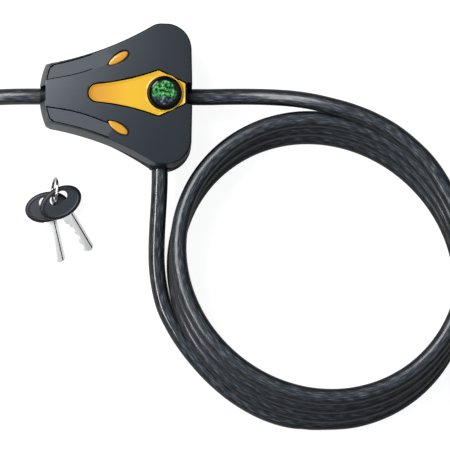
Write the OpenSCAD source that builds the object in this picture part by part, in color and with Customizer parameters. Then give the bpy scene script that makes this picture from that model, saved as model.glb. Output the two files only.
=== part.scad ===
// Adjustable cable lock: a moulded lock body, 1.8 m of vinyl-coated steel cable and two keys.
// One end of the cable is fixed in the lower wing. The rest runs through the body along X,
// where two wedge jaws grip it; a quarter turn of the key draws them back.
// Frame: +X along the channel to the entry port, +Y to the keyway, +Z out of the front face.
// The origin is the middle of the flat rear face. All sizes are in millimetres.

/* [Cable] */
// Diameter of the vinyl-coated cable
cable_d = 8; // [7:0.5:8]
// Radius of the coil's turns at the middle of the cable
coil_r = 69.4; // [66:0.2:72]
// How far each turn of the coil leans towards the lock
coil_lean = 3.8; // [3:0.1:4.2]
// Height that each turn climbs over the one below
coil_rise = 8.6; // [8.6:0.1:9.5]

/* [Lock body] */
// Thickness from the rear face to the top of the front face
body_t = 28; // [28:0.5:30]
// Height of the joint between the two shells
split_z = 14; // [14:0.5:14]
// Wall of the moulded shells
wall = 3; // [2.6:0.1:3.2]
// Radius of the front face's crown
crown_r = 450; // [420:10:600]
// Distance of the crown's highest point from the middle of the body, towards the entry port
crown_x = 4; // [0:1:6]
// Width of the sloped band along the front face's long sides
bevel_w = 1.1; // [0.8:0.1:2]
// Width of that band across the narrow end
end_bevel_w = 2.55; // [2:0.05:3]
// Width of that band at the entry port
port_bevel_w = 0.3; // [0.2:0.1:1]
// Fall of the sunk panels' floor from the end of the spine to the narrow end
panel_fall = 1.95; // [1.7:0.05:2.2]

/* [Mechanism] */
// Distance of the wings' axis from the middle of the body
wing_x = 21.2; // [21.2:0.1:21.2]
// Half angle of the wedge that closes the jaws
wedge_angle = 8; // [8:0.5:8]
// Eccentricity of the drive pin
cam_throw = 3; // [3:0.1:3]
// Radius of the key plug
plug_r = 4.8; // [4.7:0.05:4.8]
// Number of wafer tumblers
wafer_count = 5; // [3:1:5]

/* [Keys] */
// Length of a key bow's oval
bow_l = 21.9; // [20:0.1:22]
// Width of a key bow's oval
bow_w = 15; // [14:0.1:15]
// Thickness of a key bow
bow_t = 3.4; // [3:0.1:3.4]
// Thickness of a key blade
blade_t = 1.9; // [1.6:0.1:2]
// Distance from the middle of the bow to the tip of the blade
key_reach = 27.7; // [26:0.1:28]

/* [Hidden] */

cable_r = cable_d / 2;
charcoal = "#3b3e44";
black = "#1c1d20";
yellow = "#f0b42b";
steel = "#b9bcc0";
zinc = "#9a9da1";
brass = "#c2a25a";

// The body's outline: half of it, from the entry port round the wing to the narrow end
end_arc_r = 39.4;
end_arc_x = 1.9;
end_arc_y = 14.75;
corner = [-34.25, 15.15];
waist_r = 150;
waist_c = [-59.8, 163.05];
waist_run = 26.1;
wing_top = 35.45;
shoulder_r = 13.4;
shoulder_c = [23.3, wing_top - shoulder_r];
// The wing's tip is an arc that runs smoothly into the waist
tip_r = 9;
tip_reach = sqrt(pow(waist_r + tip_r, 2) - pow(waist_c.y - wing_top + tip_r, 2));
tip_c = [waist_c.x + tip_reach, wing_top - tip_r];
tip_turn = acos(tip_reach / (waist_r + tip_r));
port_x = 37;
port_half = 5;
side_half = 12;
left_x = end_arc_x - end_arc_r;
end_wall = wall + 1.2;
notch_half = 3.9;
notch_depth = 2.7;
rear_draft = 0.7;

// The channel, the case and the wedge
channel_r = cable_r + 0.3;
case_z0 = 3;
case_z1 = 21.5;
cover_z1 = 24;
ceiling_z = 24.4;
floor_z = 2.8;
case_x0 = -31.5;
case_x1 = 33.5;
bar_half = 11.5;
wing_x0 = 13.5;
wing_x1 = 29.5;
wing_y = 28.5;
jaw_x0 = -12;
jaw_x1 = 4;
jaw_half_z = 4.5;
jaw_back = 7.3;
jaw_fit = 0.05;
jaw_y0 = 2.2;
taper = tan(wedge_angle);
pin_x = -6;
pin_y = 6.3;
jaw_pin_r = 1.3;
plate_z0 = 18.8;
plate_z1 = 21.3;
release = cam_throw * 2 * sin(45);
drive_x = wing_x + cam_throw * cos(45);
drive_z = split_z + cam_throw * sin(45);
drive_pin_r = 1.2;
spring_r = 5.85;
spring_wire_r = 0.65;
spring_x0 = -26.5;
washer_x = -13.2;
washer_t = 1.1;
barrel_r = 6.5;
barrel_y0 = 13;
barrel_y1 = 33.4;
plug_y0 = 11.75;
plug_y1 = 33;
wafer_y0 = 16;
wafer_pitch = 3;
keyway_w = 2.3;
keyway_h = 6.6;
rivet_places = [[-23, 9.3], [-23, -9.3], [31, 8.8], [31, -8.8]];
rivet_r = 1.22;
rivet_head_r = 2;
rivet_head_t = 1.2;
ferrule_r = 6;
ferrule_pin_r = 1.5;
ferrule_pin_y = -16;
barrel_pin_r = 0.97;
barrel_pin_y = 20;
ferrule_y0 = -13.5;
cable_stop_y = -18.5;
collar_y = -35.9;
screw_places = [[4, 18], [4, -18], [-28.3, 12], [-28.3, -12]];

// The front face's trim
label_z0 = 26.6;
label_z1 = 27.9;
label_gap = 0.3;
badge_x = 23.3;
badge_r = 8.3;
lens_r = 6.6;
eye_place = [0.9, 16.9];
eye_tilt = 33;
eye_l = 12.2;
eye_w = 4.9;
eye_step = 0.45;

// The free cable's routes: points in order from the lock's wing to the coil, from the coil
// to the entry port, and from the far port to the end cap
lead_route = [
    [21.2, -35.9, 14], [21.2, -42, 14], [20.8, -52, 13.3], [20.2, -62, 11.6],
    [19.8, -72, 9.4], [19.9, -82, 7.3], [21.1, -92, 5.5], [23.6, -102, 4.4],
    [27.8, -111, 4], [33.4, -120, 4], [40.4, -129, 4], [48.6, -137.6, 4],
    [58.4, -145.6, 4], [69.2, -152, 4], [79, -155.9, 4]
];
return_route = [
    [165.9, -59.4, 29.8], [159.1, -46.2, 29.8], [152.8, -36.2, 29.8], [145.9, -28.4, 29.8],
    [135.2, -19.4, 29.6], [123.8, -12.9, 29.2], [113, -8.6, 28.5],
    [103.5, -5.8, 27.3], [95, -3.6, 25.3], [86.5, -1.9, 22.3], [78.5, -0.8, 19],
    [70.5, -0.1, 16.3], [62, 0.2, 14.6], [53.5, 0.2, 14], [45, 0, 14], [37, 0, 14]
];
tail_route = [
    [-37.5, 0, 14], [-43, 0, 14], [-50, 0, 13.3], [-57, 0, 11.7], [-64, 0, 9.5],
    [-71, 0, 7.3], [-78, 0, 5.5], [-85, 0, 4.6], [-91, 0, 4.5], [-98, 0, 4.5]
];
cap_x = -90;
cap_l = 11;
cap_r = 4.5;

// The coil: its turns are counted in degrees from the lock's side, seen from above
coil_c = [99.4, -83.2];
coil_start = 270;
coil_end = 1435;
coil_steps = 78;
coil_oval = 2.3;
coil_oval_angle = 140;
coil_taper = 0.45;
coil_climb = 90;

// The keys: middle of each bow, height, turn seen from above, and tilt of the blade's tip
front_key = [-27.2, -51.4, 7.6, -58.6, 13.57];
rear_key = [-33.9, -53.2, 3.15, -77, 4.35];
ring_c = [-30.1, -45.7, 7.1];
ring_r = 6.4;
ring_wire_r = 0.6;
ring_lean = 11.7;
ring_turn = -3.7;
blade_w = 6;
hole_l = 10;
hole_w = 5;
hole_in = 2.5;

// ---- Helpers ----

function arc(c, r, a0, a1, n) =
    [for (i = [0:n]) let (a = a0 + (a1 - a0) * i / n) [c.x + r * cos(a), c.y + r * sin(a)]];

function unit(v) = v / norm(v);

function reversed(p) = [for (i = [len(p) - 1:-1:0]) p[i]];

function flipped(p) = [for (q = reversed(p)) [q.x, -q.y]];

// Points moved inwards, square to the outline; the points run anticlockwise
function inset_by(p, w) = [
    for (i = [0:len(p) - 1])
        let (a = p[(i + len(p) - 1) % len(p)], b = p[(i + 1) % len(p)], t = unit(b - a))
        p[i] + w * [-t.y, t.x]
];

// The body's outline moved inwards by d, by e at the narrow end and by f at the port
function half_body(d, e, f) = concat(
    [[port_x - f, port_half], [port_x - 0.1 - f, side_half]],
    arc(shoulder_c + [d - f, 0], shoulder_r - d, 4, 84, 10),
    arc(tip_c, tip_r - d, 90, 178 - tip_turn, 5),
    arc(waist_c, waist_r + d, -tip_turn, -acos((waist_run + e) / (waist_r + d)), 10),
    [[corner.x + 1.02 * e, corner.y - d]],
    arc([end_arc_x, 0], end_arc_r - e, 180 - asin((end_arc_y - d) / (end_arc_r - e)), 180, 6)
);

function body_outline(d, e, f) =
    let (h = half_body(d, e, f), n = len(h))
    concat(h, flipped([for (i = [0:n - 2]) h[i]]));

function at_height(p, z) = [for (q = p) [q.x, q.y, z]];

// A solid skinned over rings with the same number of points, the lowest first
module loft(rings) {
    n = len(rings[0]);
    m = len(rings);
    polyhedron(
        points = [for (r = rings) each r],
        faces = concat(
            [[for (i = [0:n - 1]) i]],
            [for (k = [0:m - 2], i = [0:n - 1]) let (j = (i + 1) % n)
                each [[k * n + i, (k + 1) * n + i, k * n + j],
                      [k * n + j, (k + 1) * n + i, (k + 1) * n + j]]],
            [[for (i = [n - 1:-1:0]) (m - 1) * n + i]]
        ),
        convexity = 6
    );
}

// Ring of a round tube at one point of its route, square to the direction t
function tube_ring(p, t, r, sides, half) =
    let (s = unit(cross(t, [0, 0, 1])), u = cross(s, t))
    [for (i = [0:sides - 1]) let (a = (i + half) * 360 / sides) p + r * (cos(a) * s + sin(a) * u)];

function route_dir(p, i) =
    unit(p[min(i + 1, len(p) - 1)] - p[max(i - 1, 0)]);

// A tube swept along the points of a route
module tube(route, r, sides, half = 0.5) {
    loft([
        for (i = [0:len(route) - 1])
            reversed(tube_ring(route[i], route_dir(route, i), r, sides, half))
    ]);
}

module x_rod(r, x0, x1, y = 0, z = split_z) {
    translate([x0, y, z]) rotate([0, 90, 0]) cylinder(r = r, h = x1 - x0, $fn = 48);
}

module y_rod(r, y0, y1, x = wing_x, z = split_z) {
    translate([x, y1, z]) rotate([90, 0, 0]) cylinder(r = r, h = y1 - y0, $fn = 48);
}

module z_rod(r, z0, z1, p, sides = 32) {
    translate([p.x, p.y, z0]) cylinder(r = r, h = z1 - z0, $fn = sides);
}

module block(x0, x1, y0, y1, z0, z1) {
    translate([x0, y0, z0]) cube([x1 - x0, y1 - y0, z1 - z0]);
}

// ---- Cable routes ----

function smooth_step(t) = let (c = min(max(t, 0), 1)) c * c * (3 - 2 * c);

// Height of the coil: flat on the table for the first turn, then a climb at the start of each
function coil_z(a) = cable_r + coil_rise * (
    smooth_step((a - 495) / coil_climb) + smooth_step((a - 855) / coil_climb)
    + smooth_step((a - 1215) / coil_climb)
);

function coil_point(a) =
    let (m = (a - 900) / 360)
    let (r = coil_r + coil_oval * cos(2 * (a - coil_oval_angle)) - coil_taper * m)
    [
        coil_c.x + 0.3 * m + r * cos(a),
        coil_c.y + coil_lean * m - 0.24 * m * m * m + r * sin(a),
        coil_z(a)
    ];

coil_turns = [
    for (i = [0:coil_steps]) coil_point(coil_start + (coil_end - coil_start) * i / coil_steps)
];
coil_in = unit(coil_point(coil_start + 0.5) - coil_point(coil_start - 0.5));
coil_out = unit(coil_point(coil_end + 0.5) - coil_point(coil_end - 0.5));
coil_first = coil_turns[0] - cable_d * coil_in;
coil_last = coil_turns[coil_steps] + cable_d * coil_out;
coil_route = concat([coil_first], coil_turns, [coil_last]);
lead_path = concat(lead_route, [coil_first - cable_r * coil_in, coil_first]);
return_path = concat([coil_last, coil_last + cable_r * coil_out], return_route);

function route_length(p) = len(p) < 2 ? 0 : [
    for (i = 0, s = 0; i < len(p); s = s + (i + 1 < len(p) ? norm(p[i + 1] - p[i]) : 0), i = i + 1) s
][len(p) - 1];

// Least distance between the surfaces of turns that are at least half a turn apart
coil_gap = min([
    for (i = [0:len(coil_route) - 14], j = [i + 12:len(coil_route) - 1])
        norm(coil_route[i] - coil_route[j]) - cable_d
]);
echo(str("least gap of the coil to itself: ", coil_gap, " mm"));
echo(str("lengths: lead ", route_length(lead_path), ", coil ", route_length(coil_route),
    ", return ", route_length(return_path), ", tail ", route_length(tail_route)));

// ---- Shells and trim ----

label_half = concat(
    arc([-9.2, 0], 4.6, 171, 111, 4),
    arc([-18.7, 114.3], 110, -85, -70, 8),
    [[20.1, 11.35], [20.9, 11.35], [21.6, 11.1], [33.4, 5.4], [34, 4.7]]
);
label_outline = reversed(concat(label_half, flipped(label_half)));

// A leaf with one pointed end and one round end
module eye_shape(grow) {
    n = 14;
    half = [
        for (i = [0:n]) let (t = (1 - cos(180 * i / n)) / 2)
            [eye_l * (t - 0.5), (eye_w / 2 + grow) * 2.38 * pow(t, 0.8) * sqrt(1 - t)]
    ];
    scale([1 + grow / 5, 1]) polygon(concat(half, flipped([for (i = [1:n - 1]) half[i]])));
}

module eye_at(side, grow, z0, z1) {
    translate([eye_place.x, side * eye_place.y, z0])
        rotate([0, 0, side * eye_tilt]) linear_extrude(z1 - z0) eye_shape(grow);
}

// The front face's crown, a very flat dome with its highest point a little right of the middle
module crown(drop = 0) {
    translate([crown_x, 0, body_t - drop - crown_r]) rotate([90, 0, 0]) sphere(r = crown_r, $fn = 720);
}

module sunk_panel(side) {
    // Deepest at the narrow end. The floor's slope comes out through the face before the
    // panel's outline ends, below the oval insert. A low rim stands between the panel and the
    // sloped band.
    rim = body_outline(bevel_w + 0.6, end_bevel_w + 0.3, 0);
    ridge = [
        [-40, 5.2], [-33.5, 6.4], [-22.5, 8.3], [-15, 10.3], [-9.5, 12.3], [-3.5, 14.7], [1.5, 16.9]
    ];
    intersection() {
        translate([0, 0, 20]) linear_extrude(12)
            polygon([for (p = concat(ridge, [[1.5, 30], [-40, 30]])) [p.x, side * p.y]]);
        translate([0, 0, 20]) linear_extrude(12) polygon(rim);
        translate([-3.5, 0, body_t - 0.5]) rotate([0, -atan(panel_fall / 30), 0])
            translate([-50, -40, 0]) cube([60, 80, 10]);
    }
}

module shell_openings() {
    // Ports of the channel, mouth of the keyway and seat of the cable's collar
    x_rod(5.6, -40, case_x0);
    x_rod(5.4, case_x1, 40);
    y_rod(barrel_r + 0.1, wing_y, 40);
    y_rod(6.7, -33, -wing_y);
    y_rod(5.7, -40, -32.9);
}

// Slots in the front face's ends, over the cable where it goes in and out
module cable_notches() {
    block(port_x - notch_depth, 40, -5.3, 5.3, split_z, 40);
    block(-40, left_x + notch_depth, -notch_half, notch_half, split_z, 40);
}

module front_shell() {
    top = body_t + 2;
    color(charcoal) difference() {
        intersection() {
            loft([
                at_height(body_outline(0, 0, 0), split_z),
                at_height(body_outline(0, 0, 0), 19),
                at_height(body_outline(bevel_w, end_bevel_w, port_bevel_w), 26.6),
                at_height(body_outline(bevel_w + 0.6, end_bevel_w + 0.8, port_bevel_w + 0.4), top)
            ]);
            crown();
        }
        difference() {
            translate([0, 0, split_z - 1]) linear_extrude(ceiling_z - split_z + 1)
                polygon(body_outline(wall, end_wall, wall));
            for (p = screw_places) z_rod(3, split_z, 26, p);
        }
        for (p = screw_places) z_rod(1.5, split_z - 1, 22, p);
        sunk_panel(1);
        sunk_panel(-1);
        translate([0, 0, label_z0]) linear_extrude(5) polygon(label_outline);
        z_rod(badge_r + 0.1, label_z0 - 0.8, 30, [badge_x, 0], 64);
        for (s = [-1, 1]) eye_at(s, 0.05, 25.6, 30);
        shell_openings();
        cable_notches();
    }
}

module rear_shell() {
    color(charcoal) difference() {
        loft([
            at_height(body_outline(2.2, 2.2, 1.8), 0),
            at_height(body_outline(1.1, 1.1, 0.6), 0.8),
            at_height(body_outline(rear_draft, rear_draft, 0), 2.6),
            at_height(body_outline(0, 0, 0), split_z)
        ]);
        difference() {
            translate([0, 0, floor_z]) linear_extrude(split_z)
                polygon(body_outline(wall, end_wall, wall));
            for (p = screw_places) z_rod(3, 0, split_z, p);
        }
        for (p = screw_places) {
            z_rod(1.6, -1, split_z + 1, p);
            z_rod(2.7, -1, 2.5, p);
        }
        shell_openings();
    }
}

module label_inlay() {
    color(yellow) difference() {
        intersection() {
            translate([0, 0, label_z0]) linear_extrude(3) polygon(inset_by(label_outline, label_gap));
            crown(body_t - label_z1);
        }
        z_rod(badge_r + 0.1, 20, 30, [badge_x, 0], 64);
    }
}

module badge_rim() {
    // Turned section: a round bezel with a sunk seat for the lens
    color(black) translate([badge_x, 0, 0]) rotate_extrude($fn = 96) polygon([
        [0, 25.9], [badge_r, 25.9], [badge_r, 28.3], [badge_r - 0.4, 28.9],
        [badge_r - 1, 29.1], [lens_r + 0.05, 28.7], [lens_r + 0.05, 27.6], [0, 27.6]
    ]);
}

module badge_lens() {
    dome_r = 40;
    color("#20402c") intersection() {
        z_rod(lens_r, 27.6, 30, [badge_x, 0], 96);
        translate([badge_x, 0, 29.1 - dome_r]) sphere(r = dome_r, $fn = 180);
    }
}

// The insert fills its seat at the bottom, and steps in above
module eye_insert(side) {
    color("#e0a035") union() {
        eye_at(side, 0, 25.6, 26.7);
        intersection() {
            eye_at(side, -eye_step, 26, 28.6);
            translate([0, 0, 0.15]) crown();
        }
    }
}

module eye_insert_upper() { eye_insert(1); }

module eye_insert_lower() { eye_insert(-1); }

module cover_screws() {
    color(steel) for (p = screw_places) difference() {
        union() {
            z_rod(2.6, 0.6, 2.5, p);
            z_rod(1.45, 2.5, 21, p);
        }
        z_rod(1.2, 0, 1.8, p, 6);
    }
}

// ---- Case and cable channel ----

module case_plan() {
    polygon([
        [case_x0, -8.5], [-26.4, -8.5], [-24.6, -bar_half], [wing_x0, -bar_half],
        [wing_x0, -wing_y], [wing_x1, -wing_y], [wing_x1, -bar_half], [case_x1, -bar_half],
        [case_x1, bar_half], [wing_x1, bar_half], [wing_x1, wing_y], [wing_x0, wing_y],
        [wing_x0, bar_half], [-24.6, bar_half], [-26.4, 8.5], [case_x0, 8.5]
    ]);
}

function wedge_y(x) = jaw_back - x * taper;

module lock_case() {
    color(zinc) difference() {
        translate([0, 0, case_z0]) linear_extrude(case_z1 - case_z0) case_plan();
        x_rod(channel_r, -40, 40);
        x_rod(spring_r + 1.05, spring_x0, jaw_x0);
        translate([0, 0, split_z - jaw_half_z - 0.2]) linear_extrude(20) polygon([
            [-19, wedge_y(-19)], [4.8, wedge_y(4.8)], [4.8, -wedge_y(4.8)], [-19, -wedge_y(-19)]
        ]);
        block(-16.6, 27, -9.7, 9.7, 18.6, 30);
        block(15.8, 26.8, 5.9, 9.4, 12.9, 30);
        y_rod(4.95, 9.3, 12);
        y_rod(barrel_r + 0.05, 11.8, 40);
        z_rod(barrel_pin_r + 0.03, 6, 30, [wing_x + barrel_r, barrel_pin_y]);
        y_rod(ferrule_r + 0.05, -40, ferrule_y0 + 0.1);
        z_rod(ferrule_pin_r + 0.02, 5, 30, [wing_x, ferrule_pin_y]);
        for (p = rivet_places) z_rod(rivet_r + 0.03, 15, 30, p);
    }
}

module case_cover() {
    color(steel) difference() {
        translate([0, 0, case_z1]) linear_extrude(cover_z1 - case_z1) case_plan();
        for (p = rivet_places) {
            z_rod(rivet_r + 0.03, 20, 30, p);
            z_rod(rivet_head_r + 0.05, cover_z1 - rivet_head_t, 30, p);
        }
    }
}

module case_rivets() {
    color(steel) for (p = rivet_places) {
        z_rod(rivet_r, 15.2, cover_z1 - rivet_head_t, p);
        z_rod(rivet_head_r, cover_z1 - rivet_head_t, cover_z1, p);
    }
}

module port_bush_left() {
    color(black) difference() {
        union() {
            x_rod(5.55, left_x + 1, case_x0);
            x_rod(5, left_x + 0.4, left_x + 1.1);
        }
        x_rod(cable_r + 0.2, -40, -30);
    }
}

module port_bush_right() {
    color(black) difference() {
        union() {
            x_rod(5.2, case_x1, 34.9);
            x_rod(4.9, 34.8, 35.6);
        }
        x_rod(cable_r + 0.2, 30, 40);
    }
}

module exit_collar() {
    // Flange held by both shells, and a nose that tapers on to the cable
    color(black) translate([wing_x, 0, split_z]) rotate([90, 0, 0])
        rotate_extrude($fn = 64) polygon([
            [cable_r + 0.05, wing_y + 0.1], [6.6, wing_y + 0.1], [6.6, 32.8], [5.6, 32.8],
            [5.6, 34.6], [5, -collar_y], [cable_r + 0.05, -collar_y]
        ]);
}

module cable_ferrule() {
    color(steel) difference() {
        y_rod(ferrule_r, -wing_y, ferrule_y0);
        y_rod(cable_r + 0.05, -40, cable_stop_y);
        z_rod(ferrule_pin_r + 0.02, 0, 30, [wing_x, ferrule_pin_y]);
    }
}

module ferrule_pin() { color(steel) z_rod(ferrule_pin_r, 5.1, 21.3, [wing_x, ferrule_pin_y]); }

module cable_anchor() { color(charcoal) y_rod(cable_r, collar_y, cable_stop_y - 0.1); }

module cable_through() { color(charcoal) x_rod(cable_r, left_x, port_x); }

module cable_lead() { color(charcoal) tube(lead_path, cable_r, 10); }

module cable_coil() { color(charcoal) tube(coil_route, cable_r, 6, 0); }

module cable_return() { color(charcoal) tube(return_path, cable_r, 10); }

module cable_tail() { color(charcoal) tube(tail_route, cable_r, 10); }

module cable_end_cap() {
    color(black) difference() {
        union() {
            x_rod(cap_r, cap_x - cap_l, cap_x, 0, cap_r);
            translate([cap_x - cap_l, 0, cap_r]) rotate([0, 90, 0])
                cylinder(r1 = cap_r - 0.8, r2 = cap_r, h = 1, center = true, $fn = 48);
        }
        x_rod(cable_r + 0.05, cap_x - cap_l + 2.6, cap_x + 1, 0, cap_r);
    }
}

// ---- Key cylinder ----

module cylinder_barrel() {
    color(brass) difference() {
        y_rod(barrel_r, barrel_y0, barrel_y1);
        y_rod(plug_r + 0.06, 0, 40);
        // Slots that take the wafers when the key is out
        block(wing_x - 2.8, wing_x + 2.8, 15, 29.6, split_z - 5.7, split_z + 5.7);
        z_rod(barrel_pin_r + 0.03, 6, 30, [wing_x + barrel_r, barrel_pin_y]);
    }
}

module barrel_pin() {
    color(steel) z_rod(barrel_pin_r, 6.1, 21.3, [wing_x + barrel_r, barrel_pin_y]);
}

module keyway_cut() {
    block(wing_x - keyway_w / 2, wing_x + keyway_w / 2, 14.4, 40,
        split_z - keyway_h / 2, split_z + keyway_h / 2);
}

module key_plug() {
    color(brass) difference() {
        y_rod(plug_r, plug_y0, plug_y1);
        keyway_cut();
        y_rod(2.2, plug_y0 - 1, plug_y0 + 2);
        difference() {
            y_rod(6, 12.05, 12.95);
            y_rod(4, 12, 13);
        }
        for (i = [0:wafer_count - 1]) {
            y = wafer_y0 + i * wafer_pitch;
            block(wing_x - 2.7, wing_x + 2.7, y - 0.05, y + 1.05, 0, 28);
            z_rod(0.7, split_z - 1.5, split_z + 1.5, [wing_x + 3.4, y + 0.5], 16);
        }
    }
}

module wafers() {
    color(brass) for (i = [0:wafer_count - 1]) {
        y = wafer_y0 + i * wafer_pitch;
        difference() {
            intersection() {
                block(wing_x - 2.6, wing_x + 2.6, y, y + 1, split_z - 5, split_z + 5);
                y_rod(plug_r - 0.1, y - 1, y + 2);
            }
            block(wing_x - 1.3, wing_x + 1.3, y - 1, y + 2, split_z - 2.9, split_z + 2.9);
        }
    }
}

module wafer_springs() {
    color(steel) for (i = [0:wafer_count - 1])
        z_rod(0.55, split_z - 1.4, split_z + 1.4,
            [wing_x + 3.4, wafer_y0 + i * wafer_pitch + 0.5], 16);
}

module plug_clip() {
    color(steel) difference() {
        y_rod(5.9, 12.15, 12.85);
        y_rod(4.06, 11, 14);
        block(wing_x - 2.4, wing_x + 2.4, 11, 14, split_z - 9, split_z);
    }
}

module drive_cam() {
    color(steel) {
        y_rod(4.7, 9.7, plug_y0);
        y_rod(2.18, plug_y0, plug_y0 + 1.9);
        y_rod(drive_pin_r, 6.3, 9.7, drive_x, drive_z);
    }
}

// ---- Jaws ----

module jaw_carriage() {
    color(zinc) {
        difference() {
            translate([0, 0, plate_z0]) linear_extrude(plate_z1 - plate_z0) polygon([
                [-11.5, -9.4], [-1, -9.4], [0.5, -5], [26.3, -5], [26.3, 9], [20.3, 9],
                [20.3, 5], [0.5, 5], [-1, 9.4], [-11.5, 9.4]
            ]);
            for (s = [-1, 1])
                block(pin_x - jaw_pin_r - 0.1, pin_x + jaw_pin_r + 0.1,
                    s > 0 ? 4.8 : -8.5, s > 0 ? 8.5 : -4.8, 15, 25);
        }
        difference() {
            block(20.3, 26.3, 6.2, 9, 13.2, plate_z0);
            block(drive_x - drive_pin_r - 0.15, drive_x + drive_pin_r + 0.15, 5, 10, 14.7, 18.6);
        }
    }
}

module spring_washer() {
    color(steel) difference() {
        x_rod(6.6, washer_x, washer_x + washer_t);
        x_rod(4.6, -20, 0);
    }
}

module jaw(side) {
    color(steel) difference() {
        union() {
            translate([0, 0, split_z - jaw_half_z]) linear_extrude(2 * jaw_half_z)
                polygon([for (p = [
                    [jaw_x0, jaw_y0], [jaw_x1, jaw_y0],
                    [jaw_x1, wedge_y(jaw_x1) - jaw_fit], [jaw_x0, wedge_y(jaw_x0) - jaw_fit]
                ]) [p.x, side * p.y]]);
            z_rod(jaw_pin_r, split_z + jaw_half_z - 1, 21, [pin_x, side * pin_y]);
        }
        x_rod(cable_r + 0.08, -20, 10);
        // Biting grooves
        for (i = [0:5]) x_rod(cable_r + 0.5, jaw_x0 + 2 + i * 2.3, jaw_x0 + 3.1 + i * 2.3);
    }
}

module jaw_upper() { jaw(1); }

module jaw_lower() { jaw(-1); }

module jaw_spring() {
    turns = 5;
    steps = 8;
    n = turns * steps;
    x0 = spring_x0 + spring_wire_r + 0.1;
    x1 = washer_x - spring_wire_r - 0.1;
    color(steel) loft([
        for (i = [0:n])
            let (a = 360 * i / steps, x = x0 + (x1 - x0) * i / n)
            let (p = [x, spring_r * cos(a), split_z + spring_r * sin(a)])
            let (out = [0, cos(a), sin(a)])
            [for (k = [0:5]) let (b = k * 60)
                p + spring_wire_r * (cos(b) * [1, 0, 0] + sin(b) * out)]
    ]);
}

// ---- Keys ----

// A key's own frame: the blade points along +X from the middle of the bow
module in_key(k) {
    translate([k[0], k[1], k[2]]) rotate([0, 0, k[3]]) rotate([0, k[4], 0]) children();
}

function oval(a, b, z, n = 36) = [for (i = [0:n - 1]) [a * cos(i * 360 / n), b * sin(i * 360 / n), z]];

module blade_cut() {
    translate([3.2, -blade_w / 2 - 0.02, -blade_t / 2 - 0.02])
        cube([10, blade_w + 0.04, blade_t + 0.04]);
}

module key_bow(k) {
    a = bow_w / 2;
    b = bow_l / 2;
    h = bow_t / 2;
    color(black) in_key(k) difference() {
        loft([for (q = [[1.1, -1], [0.4, -0.72], [0, -0.2], [0, 0.2], [0.4, 0.72], [1.1, 1]])
            oval(a - q[0], b - q[0], h * q[1])]);
        blade_cut();
        linear_extrude(10, center = true) polygon(concat(
            arc([-hole_in, (hole_l - hole_w) / 2], hole_w / 2, 0, 180, 8),
            arc([-hole_in, -(hole_l - hole_w) / 2], hole_w / 2, 180, 360, 8)
        ));
    }
}

module key_blade(k) {
    w = blade_w / 2;
    color(steel) in_key(k) difference() {
        translate([0, 0, -blade_t / 2]) linear_extrude(blade_t) polygon([
            [3.2, -w], [10.6, -w], [11.2, -w + 1.1], [12.8, -w + 1.1], [13.6, -w + 2],
            [14.8, -w + 2], [15.8, -w + 1.2], [17, -w + 1.2], [18.2, -w + 2.2],
            [19.2, -w + 2.2], [20.6, -w + 0.8], [22, -w + 0.8], [23.4, -w + 1.6],
            [24.4, -w + 1.6], [25.4, -w + 0.6], [26, -w + 0.6], [key_reach, -w + 2.6],
            [key_reach, w - 1.6], [26.2, w], [3.2, w]
        ]);
        // One groove milled along each face
        translate([12, 0.3, blade_t / 2 - 0.45]) cube([30, 1.1, 2]);
        translate([12, -0.7, -blade_t / 2 - 1.55]) cube([30, 1, 2]);
    }
}

module key_bow_front() { key_bow(front_key); }

module key_blade_front() { key_blade(front_key); }

module key_bow_rear() { key_bow(rear_key); }

module key_blade_rear() { key_blade(rear_key); }

module key_ring() {
    color(steel) translate(ring_c) rotate([0, 0, ring_turn]) rotate([0, 90 + ring_lean, 0])
        rotate_extrude($fn = 64) translate([ring_r, 0]) circle(r = ring_wire_r, $fn = 24);
}

front_shell();
rear_shell();
label_inlay();
badge_rim();
badge_lens();
eye_insert_upper();
eye_insert_lower();
cover_screws();
lock_case();
case_cover();
case_rivets();
port_bush_left();
port_bush_right();
exit_collar();
cylinder_barrel();
barrel_pin();
key_plug();
wafers();
wafer_springs();
plug_clip();
drive_cam();
jaw_carriage();
spring_washer();
jaw_upper();
jaw_lower();
jaw_spring();
cable_ferrule();
ferrule_pin();
cable_anchor();
cable_lead();
cable_coil();
cable_return();
cable_through();
cable_tail();
cable_end_cap();
key_ring();
key_bow_front();
key_blade_front();
key_bow_rear();
key_blade_rear();
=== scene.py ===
# %% [markdown]
# # Adjustable cable lock
# A moulded lock body, a long vinyl-coated steel cable and two flat keys lie on a pale table.
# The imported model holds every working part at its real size. This lesson dresses it: the cable
# is swept along its route, the shells, trim and keys are modelled with smooth edges, and every
# part gets a finish of its own.

# %% Load the frame
from math import acos, asin, cos, dist, radians, sin, sqrt, tau

import bpy
from mathutils import Matrix, Vector


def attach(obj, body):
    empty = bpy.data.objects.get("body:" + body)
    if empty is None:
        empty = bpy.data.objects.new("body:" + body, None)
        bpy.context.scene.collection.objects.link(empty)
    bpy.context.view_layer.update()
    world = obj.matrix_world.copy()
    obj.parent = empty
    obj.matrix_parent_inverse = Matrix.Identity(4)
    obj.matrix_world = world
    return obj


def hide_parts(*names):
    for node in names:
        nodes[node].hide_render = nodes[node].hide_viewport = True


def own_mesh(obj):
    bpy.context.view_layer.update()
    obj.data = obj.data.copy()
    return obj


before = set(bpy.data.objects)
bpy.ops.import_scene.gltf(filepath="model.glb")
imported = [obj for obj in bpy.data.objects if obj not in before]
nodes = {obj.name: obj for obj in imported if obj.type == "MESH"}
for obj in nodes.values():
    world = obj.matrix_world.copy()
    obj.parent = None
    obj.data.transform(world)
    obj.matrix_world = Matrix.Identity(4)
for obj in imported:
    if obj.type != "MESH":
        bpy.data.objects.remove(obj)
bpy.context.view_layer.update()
print("loaded", len(nodes), "parts")

# %% [markdown]
# ## Units, colours and small helpers
# All sizes below are in millimetres, as on a drawing, and MM turns them to Blender's metres.
# Colours are sRGB hex values, as on a paint chart, and one function makes them linear.

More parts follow.
